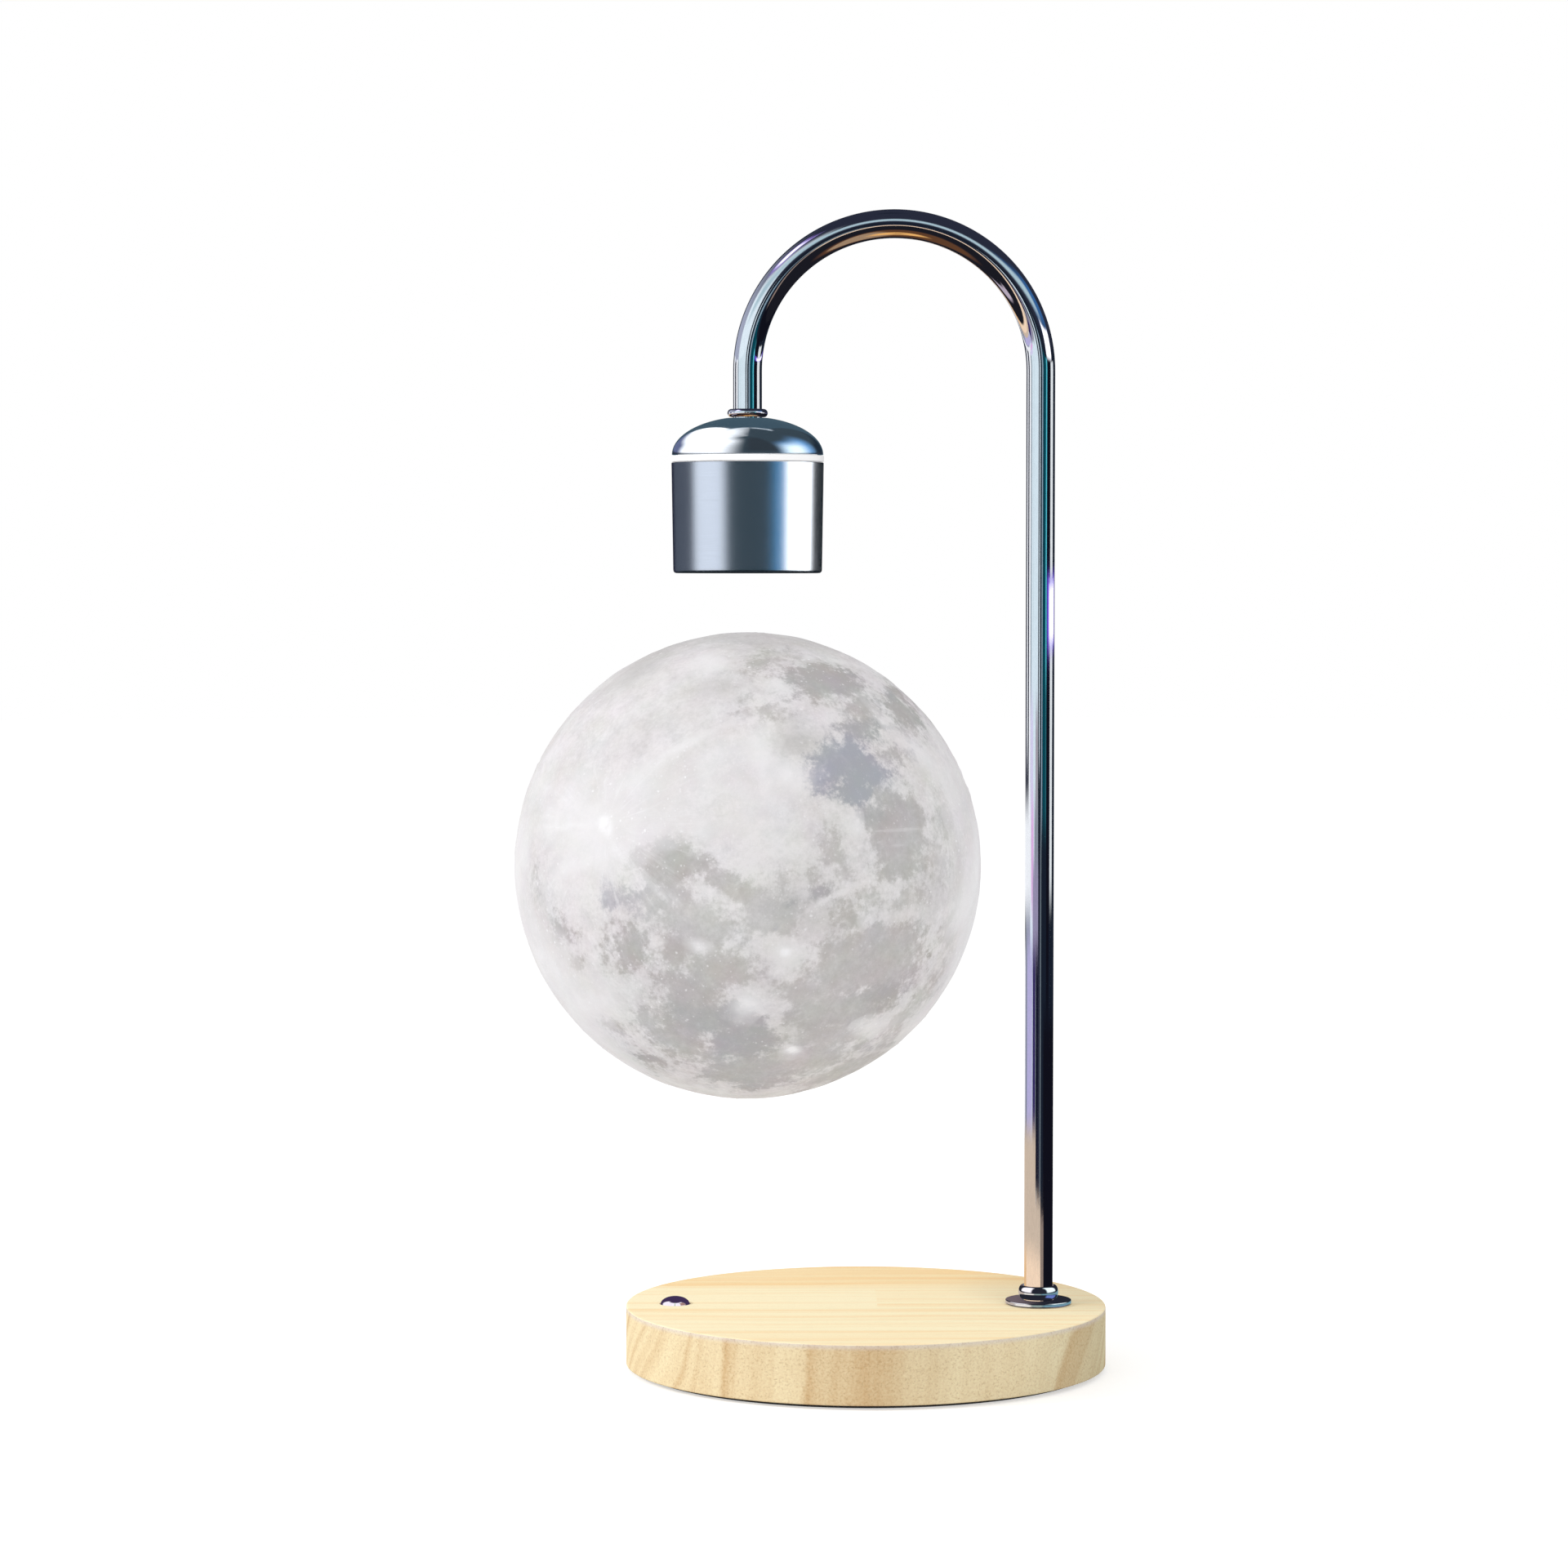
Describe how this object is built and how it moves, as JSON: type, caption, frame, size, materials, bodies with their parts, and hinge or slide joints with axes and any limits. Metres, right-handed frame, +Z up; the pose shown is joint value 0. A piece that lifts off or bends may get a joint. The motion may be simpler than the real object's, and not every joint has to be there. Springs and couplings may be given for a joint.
{
  "type": "levitating moon lamp",
  "caption": "Table lamp with a round wooden base, a hooked chromed tube, a hanging lamp head and a moon globe that floats below it.",
  "frame": {"origin": "centre of the non-slip pad's lower face, on the base's vertical axis", "axes": "+Z up. +X from the base's centre towards the post, so the lamp head and the globe lie on the -X side. +Y to the back, where the power inlet is"},
  "size_m": [0.1902, 0.1545, 0.3717],
  "materials": {
    "pale_wood": "varnished, fine straight grain",
    "chrome": "polished",
    "satin_metal": "satin, grey",
    "moon_plastic": "matte, printed grey and white relief",
    "white_plastic": "smooth",
    "opal_plastic": "opal",
    "black_plastic": "moulded",
    "pad_rubber": "matte",
    "steel": "zinc plated",
    "magnet_plating": "nickel plated",
    "copper_wire": "enamelled",
    "brass": "plain",
    "ferrite": "matte",
    "circuit_board": "solder mask"
  },
  "bodies": {
    "lamp": {"ballast_plate": "steel", "ballast_screw_1": "steel", "ballast_screw_2": "steel", "base_cover": "black_plastic", "board_screw_1": "steel", "board_screw_2": "steel", "board_screw_3": "steel", "board_screw_4": "steel", "clamp_plate": "steel", "clamp_screw_1": "steel", "clamp_screw_2": "steel", "clamp_screw_3": "steel", "coil_bobbin": "black_plastic", "control_board": "circuit_board", "copper_winding": "copper_wire", "cover_screw_1": "steel", "cover_screw_2": "steel", "cover_screw_3": "steel", "cover_screw_4": "steel", "dc_inlet": "black_plastic", "dc_inlet_pin": "brass", "ferrite_plate": "ferrite", "foot_collar": "chrome", "foot_flange": "chrome", "hall_sensor_board": "circuit_board", "head_barrel": "satin_metal", "head_board": "circuit_board", "head_bottom_cap": "black_plastic", "head_collar": "chrome", "head_dome": "satin_metal", "head_nut": "steel", "head_washer": "steel", "inlet_lead": "black_plastic", "iron_core": "steel", "lift_magnet": "magnet_plating", "light_ring": "white_plastic", "non_slip_pad": "pad_rubber", "stem_lead": "black_plastic", "stem_nut": "steel", "stem_tube": "chrome", "stem_washer": "steel", "switch_board": "circuit_board", "switch_housing": "black_plastic", "switch_lead": "black_plastic", "switch_screw_1": "steel", "switch_screw_2": "steel", "transmitter_coil": "copper_wire", "wooden_base": "pale_wood"},
    "button": {"button_cap": "chrome", "switch_plunger": "steel"},
    "moon_magnet": {"floating_magnet": "magnet_plating", "magnet_back_plate": "steel"},
    "moon": {"moon_shell": "moon_plastic", "moon_cap": "moon_plastic", "magnet_housing": "black_plastic", "receiver_coil": "copper_wire", "receiver_board": "circuit_board", "led_board": "white_plastic", "diffuser": "opal_plastic"}
  },
  "joints": [
    {"name": "moon_float", "type": "slide", "parent": "lamp", "child": "moon_magnet", "axis": [0, 0, 1], "range_m": [-0.0664, 0.0183], "stiffness_N_per_m": 180, "springref_m": 0.0126},
    {"name": "moon_spin", "type": "hinge", "parent": "moon_magnet", "child": "moon", "pos_m": [-0.038, 0, 0.162], "axis": [0, 0, 1], "continuous": true},
    {"name": "button_press", "type": "slide", "parent": "lamp", "child": "button", "axis": [0, 0, -1], "range_m": [0, 0.001], "stiffness_N_per_m": 1500, "springref_m": -0.0002}
  ]
}
